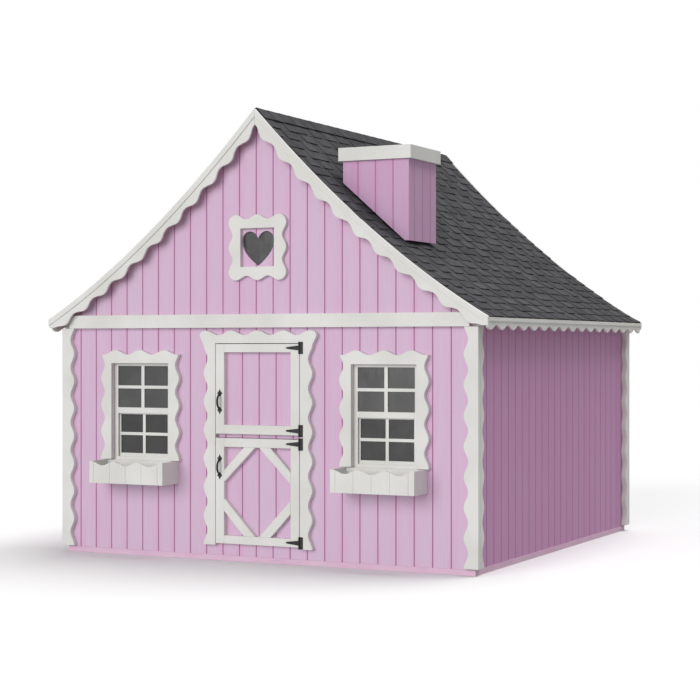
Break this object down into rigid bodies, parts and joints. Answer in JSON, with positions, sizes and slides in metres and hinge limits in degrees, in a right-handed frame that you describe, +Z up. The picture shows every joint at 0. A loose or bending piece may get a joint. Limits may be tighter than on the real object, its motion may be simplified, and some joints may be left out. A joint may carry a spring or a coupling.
{
  "type": "garden playhouse",
  "caption": "Child-size garden cottage with grooved board siding, scalloped trim, bell-cast shingle roof, two-leaf door, sash windows, flower boxes and a dummy chimney.",
  "frame": {"origin": "middle of the footprint on the ground, under the floor frame", "axes": "+Z up, +X to the right when facing the door, -Y out of the front of the cottage"},
  "size_m": [2.6314, 2.6734, 2.3976],
  "materials": {
    "siding_paint": "satin pink-lilac paint over a fine vertical wood grain",
    "trim_paint": "satin warm white paint",
    "frame_timber": "bare planed softwood",
    "sheet_wood": "bare sheathing plywood",
    "shingles": "matt charcoal mineral granules on asphalt",
    "dark_pane": "dark grey clear pane",
    "black_iron": "black powder coat"
  },
  "bodies": {
    "cottage": {"base_sill": "siding_paint", "siding_front": "siding_paint", "siding_back": "siding_paint", "siding_left": "siding_paint", "siding_right": "siding_paint", "gable_siding_front": "siding_paint", "gable_siding_back": "siding_paint", "chimney_body": "siding_paint", "rake_board_front_left": "trim_paint", "rake_board_front_right": "trim_paint", "rake_board_back_left": "trim_paint", "rake_board_back_right": "trim_paint", "eave_fascia_left": "trim_paint", "eave_fascia_right": "trim_paint", "front_band": "trim_paint", "corner_trim_front_left": "trim_paint", "corner_trim_front_right": "trim_paint", "corner_trim_back_left": "trim_paint", "corner_trim_back_right": "trim_paint", "chimney_cap": "trim_paint", "window_casing_left": "trim_paint", "window_casing_right": "trim_paint", "window_frame_left": "trim_paint", "window_frame_right": "trim_paint", "flower_box_left": "trim_paint", "flower_box_right": "trim_paint", "door_surround": "trim_paint", "heart_trim": "trim_paint", "floor_frame": "frame_timber", "wall_frame_front": "frame_timber", "wall_frame_back": "frame_timber", "wall_frame_left": "frame_timber", "wall_frame_right": "frame_timber", "ridge_beam": "frame_timber", "floor_deck": "sheet_wood", "roof_sheathing_left": "sheet_wood", "roof_sheathing_right": "sheet_wood", "shingles_left": "shingles", "shingles_right": "shingles", "upper_pane_left": "dark_pane", "upper_pane_right": "dark_pane", "heart_pane": "dark_pane", "hinge_plate_upper_top": "black_iron", "hinge_plate_upper_bottom": "black_iron", "hinge_plate_lower_top": "black_iron", "hinge_plate_lower_bottom": "black_iron"},
    "upper_leaf": {"upper_leaf_panel": "siding_paint", "upper_leaf_frame": "trim_paint", "hinge_strap_upper_top": "black_iron", "hinge_strap_upper_bottom": "black_iron", "pull_handle_upper": "black_iron"},
    "lower_leaf": {"lower_leaf_panel": "siding_paint", "lower_leaf_frame": "trim_paint", "hinge_strap_lower_top": "black_iron", "hinge_strap_lower_bottom": "black_iron", "pull_handle_lower": "black_iron"},
    "left_sash": {"lower_sash_left": "trim_paint", "lower_pane_left": "dark_pane"},
    "right_sash": {"lower_sash_right": "trim_paint", "lower_pane_right": "dark_pane"}
  },
  "joints": [
    {"name": "upper_leaf_swing", "type": "hinge", "parent": "cottage", "child": "upper_leaf", "pos_m": [0.24798, -1.25291, 0], "axis": [0, 0, 1], "range_deg": [0, 120]},
    {"name": "lower_leaf_swing", "type": "hinge", "parent": "cottage", "child": "lower_leaf", "pos_m": [0.24798, -1.25291, 0], "axis": [0, 0, 1], "range_deg": [0, 120]},
    {"name": "left_sash_lift", "type": "slide", "parent": "cottage", "child": "left_sash", "axis": [0, 0, 1], "range_m": [0, 0.23]},
    {"name": "right_sash_lift", "type": "slide", "parent": "cottage", "child": "right_sash", "axis": [0, 0, 1], "range_m": [0, 0.23]}
  ]
}
